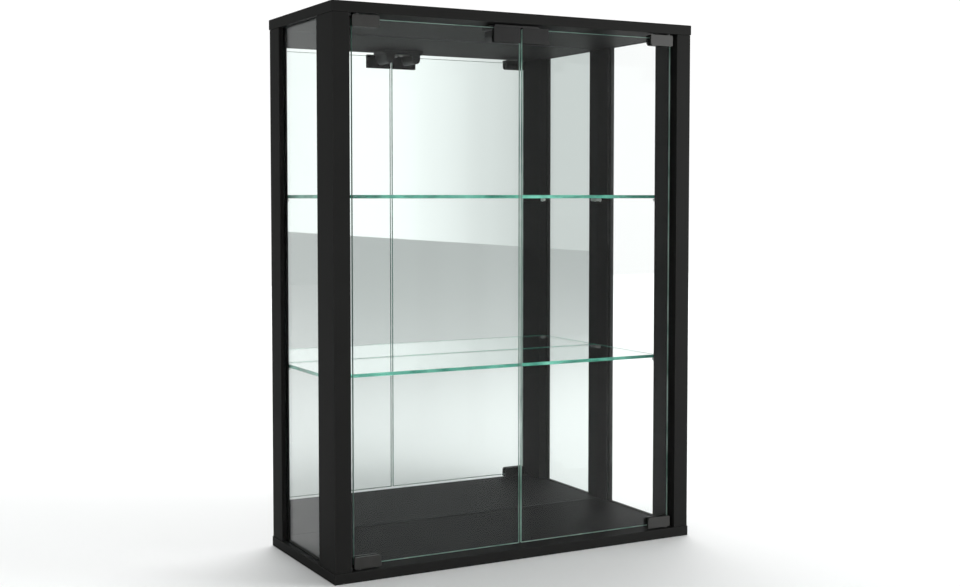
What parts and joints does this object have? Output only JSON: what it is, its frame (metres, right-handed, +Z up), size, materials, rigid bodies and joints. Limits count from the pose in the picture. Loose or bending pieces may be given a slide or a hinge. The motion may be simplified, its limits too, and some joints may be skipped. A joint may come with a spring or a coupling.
{
  "type": "china cabinet",
  "caption": "Tall black-framed display cabinet with inset frameless glass doors on pivot clamps, glass sides and shelves, a mirrored back and a magnetic push latch.",
  "frame": {"origin": "centre of the underside, on the surface that the cabinet stands on", "axes": "+X to the cabinet's right as seen from the front, +Y towards its back, +Z up; the doors face -Y"},
  "size_m": [0.6, 0.25, 0.8],
  "materials": {
    "black_board": "matte black foil over board",
    "clear_glass": "clear float glass, polished edges",
    "shelf_glass": "float glass with green polished edges",
    "mirror": "silvered glass",
    "back_board": "dark hardboard",
    "zinc_screw": "zinc plated",
    "hinge_black": "satin black coated zinc",
    "clamp_liner": "soft black liner",
    "black_steel": "black coated steel",
    "nickel": "bright nickel plate",
    "black_plastic": "fine texture",
    "white_plastic": "smooth"
  },
  "bodies": {
    "cabinet": {"top_board": "black_board", "bottom_board": "black_board", "front_post_left": "black_board", "back_post_left": "black_board", "front_post_right": "black_board", "back_post_right": "black_board", "front_post_screw_top_left": "zinc_screw", "front_post_screw_top_right": "zinc_screw", "front_post_screw_bottom_left": "zinc_screw", "front_post_screw_bottom_right": "zinc_screw", "back_post_screw_top_left": "zinc_screw", "back_post_screw_top_right": "zinc_screw", "back_post_screw_bottom_left": "zinc_screw", "back_post_screw_bottom_right": "zinc_screw", "side_glass_left": "clear_glass", "side_glass_right": "clear_glass", "mirror": "mirror", "back_panel": "back_board", "lower_shelf": "shelf_glass", "lower_shelf_pin_front_left": "white_plastic", "lower_shelf_pin_front_right": "white_plastic", "lower_shelf_pin_back_left": "white_plastic", "lower_shelf_pin_back_right": "white_plastic", "upper_shelf": "shelf_glass", "upper_shelf_pin_front_left": "white_plastic", "upper_shelf_pin_front_right": "white_plastic", "upper_shelf_pin_back_left": "white_plastic", "upper_shelf_pin_back_right": "white_plastic", "pivot_bush_top_left": "black_plastic", "pivot_bush_bottom_left": "black_plastic", "pivot_bush_top_right": "black_plastic", "pivot_bush_bottom_right": "black_plastic", "latch_housing": "black_plastic", "latch_screw_front": "zinc_screw", "latch_screw_back": "zinc_screw", "latch_spring_left": "nickel", "latch_spring_right": "nickel"},
    "left_door": {"door_glass_left": "clear_glass", "hinge_clamp_top_left": "hinge_black", "clamp_liner_top_left": "clamp_liner", "clamp_screw_top_left": "black_steel", "hinge_clamp_bottom_left": "hinge_black", "clamp_liner_bottom_left": "clamp_liner", "clamp_screw_bottom_left": "black_steel", "strike_plate_left": "black_steel"},
    "right_door": {"door_glass_right": "clear_glass", "hinge_clamp_top_right": "hinge_black", "clamp_liner_top_right": "clamp_liner", "clamp_screw_top_right": "black_steel", "hinge_clamp_bottom_right": "hinge_black", "clamp_liner_bottom_right": "clamp_liner", "clamp_screw_bottom_right": "black_steel", "strike_plate_right": "black_steel"},
    "left_plunger": {"latch_plunger_left": "black_plastic", "plunger_magnet_left": "nickel"},
    "right_plunger": {"latch_plunger_right": "black_plastic", "plunger_magnet_right": "nickel"}
  },
  "joints": [
    {"name": "left_door_hinge", "type": "hinge", "parent": "cabinet", "child": "left_door", "pos_m": [-0.2615, -0.1135, 0.4], "axis": [0, 0, -1], "range_deg": [0, 110]},
    {"name": "right_door_hinge", "type": "hinge", "parent": "cabinet", "child": "right_door", "pos_m": [0.2615, -0.1135, 0.4], "axis": [0, 0, 1], "range_deg": [0, 110]},
    {"name": "left_plunger_push", "type": "slide", "parent": "cabinet", "child": "left_plunger", "axis": [0, 1, 0], "range_m": [0, 0.003], "stiffness_N_per_m": 150, "springref_m": -0.012, "deforming": ["latch_spring_left"]},
    {"name": "right_plunger_push", "type": "slide", "parent": "cabinet", "child": "right_plunger", "axis": [0, 1, 0], "range_m": [0, 0.003], "stiffness_N_per_m": 150, "springref_m": -0.012, "deforming": ["latch_spring_right"]}
  ]
}
